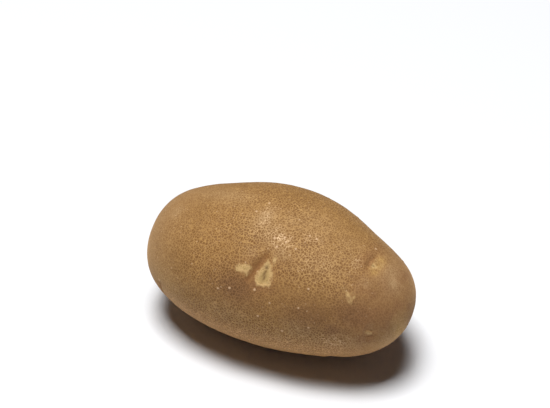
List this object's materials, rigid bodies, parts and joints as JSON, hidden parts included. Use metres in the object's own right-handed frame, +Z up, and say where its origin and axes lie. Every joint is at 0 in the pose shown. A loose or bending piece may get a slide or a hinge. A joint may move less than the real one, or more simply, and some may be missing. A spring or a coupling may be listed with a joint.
{
  "type": "potato",
  "caption": "Whole unpeeled russet potato: a long, slightly flattened and tapered tuber with shallow browed eyes, lying on a small flat spot.",
  "frame": {"origin": "on the surface that the potato lies on, under the middle of its box", "axes": "+X along the tuber from the stem end to the bud end, -Y towards the side that the picture shows, +Z up"},
  "size_m": [0.113, 0.0694, 0.0599],
  "materials": {
    "russet_skin": "matte, netted tan cork skin"
  },
  "bodies": {
    "root": {"potato": "russet_skin"}
  },
  "joints": []
}
